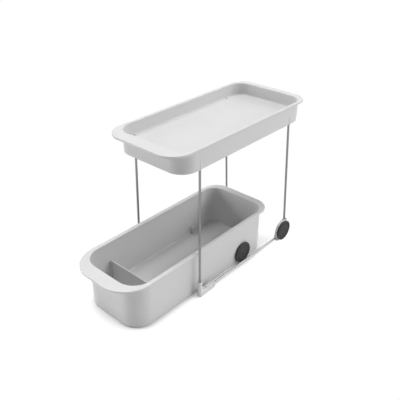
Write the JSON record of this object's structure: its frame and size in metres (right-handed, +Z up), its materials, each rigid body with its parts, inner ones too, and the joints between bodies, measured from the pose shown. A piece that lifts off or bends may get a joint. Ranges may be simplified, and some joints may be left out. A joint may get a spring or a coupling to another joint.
{
  "type": "two-tier storage caddy",
  "caption": "Storage caddy with a flanged upper tray on a wheeled wire frame and a lower bin that rolls out from under it on its own wheels, with a low lift-out divider.",
  "frame": {"origin": "on the floor, under the middle of the whole object's box, with the bin as it stands in the picture", "axes": "+X to the caddy's right side, +Y away from the pull end towards the rear, +Z up"},
  "size_m": [0.2148, 0.581, 0.36],
  "materials": {
    "tray_plastic": "satin moulded",
    "bin_plastic": "satin moulded",
    "divider_plastic": "satin moulded",
    "connector_plastic": "satin moulded",
    "wire_steel": "satin drawn wire",
    "axle_steel": "plain pin",
    "tyre_rubber": "matt",
    "hub_plastic": "matt",
    "cap_plastic": "satin",
    "pad_rubber": "matt",
    "glide_plastic": "smooth"
  },
  "bodies": {
    "frame": {"upper_tray": "tray_plastic", "front_upright_right": "wire_steel", "front_upright_left": "wire_steel", "rear_upright_right": "wire_steel", "rear_upright_left": "wire_steel", "rail_wire_right": "wire_steel", "rail_wire_left": "wire_steel", "front_foot_right": "connector_plastic", "front_foot_left": "connector_plastic", "foot_pad_right": "pad_rubber", "foot_pad_left": "pad_rubber", "rear_bracket_right": "connector_plastic", "rear_bracket_left": "connector_plastic", "frame_axle_right": "axle_steel", "frame_axle_left": "axle_steel"},
    "bin": {"lower_bin": "bin_plastic", "bin_glide_right": "glide_plastic", "bin_glide_left": "glide_plastic", "bin_axle_right": "axle_steel", "bin_axle_left": "axle_steel"},
    "divider": {"divider": "divider_plastic"},
    "frame_wheel_right": {"frame_hub_right": "hub_plastic", "frame_tyre_right": "tyre_rubber", "frame_cap_right": "cap_plastic"},
    "frame_wheel_left": {"frame_hub_left": "hub_plastic", "frame_tyre_left": "tyre_rubber", "frame_cap_left": "cap_plastic"},
    "bin_wheel_right": {"bin_hub_right": "hub_plastic", "bin_tyre_right": "tyre_rubber", "bin_cap_right": "cap_plastic"},
    "bin_wheel_left": {"bin_hub_left": "hub_plastic", "bin_tyre_left": "tyre_rubber", "bin_cap_left": "cap_plastic"}
  },
  "joints": [
    {"name": "bin_slide", "type": "slide", "parent": "frame", "child": "bin", "axis": [0, 1, 0], "range_m": [-0.25, 0.107]},
    {"name": "divider_lift", "type": "slide", "parent": "bin", "child": "divider", "axis": [0, 0, 1], "range_m": [0, 0.057]},
    {"name": "frame_wheel_right_spin", "type": "hinge", "parent": "frame", "child": "frame_wheel_right", "pos_m": [0.1051, 0.223, 0.026], "axis": [1, 0, 0], "continuous": true},
    {"name": "frame_wheel_left_spin", "type": "hinge", "parent": "frame", "child": "frame_wheel_left", "pos_m": [-0.1051, 0.223, 0.026], "axis": [1, 0, 0], "continuous": true},
    {"name": "bin_wheel_right_roll", "type": "hinge", "parent": "bin", "child": "bin_wheel_right", "pos_m": [0.0869, 0.0795, 0.026], "axis": [1, 0, 0], "continuous": true},
    {"name": "bin_wheel_left_roll", "type": "hinge", "parent": "bin", "child": "bin_wheel_left", "pos_m": [-0.0869, 0.0795, 0.026], "axis": [1, 0, 0], "continuous": true}
  ],
  "couplings": [
    {"joint": "bin_wheel_right_roll", "follows": "bin_slide", "rad_per_m": -38.462},
    {"joint": "bin_wheel_left_roll", "follows": "bin_slide", "rad_per_m": -38.462}
  ]
}
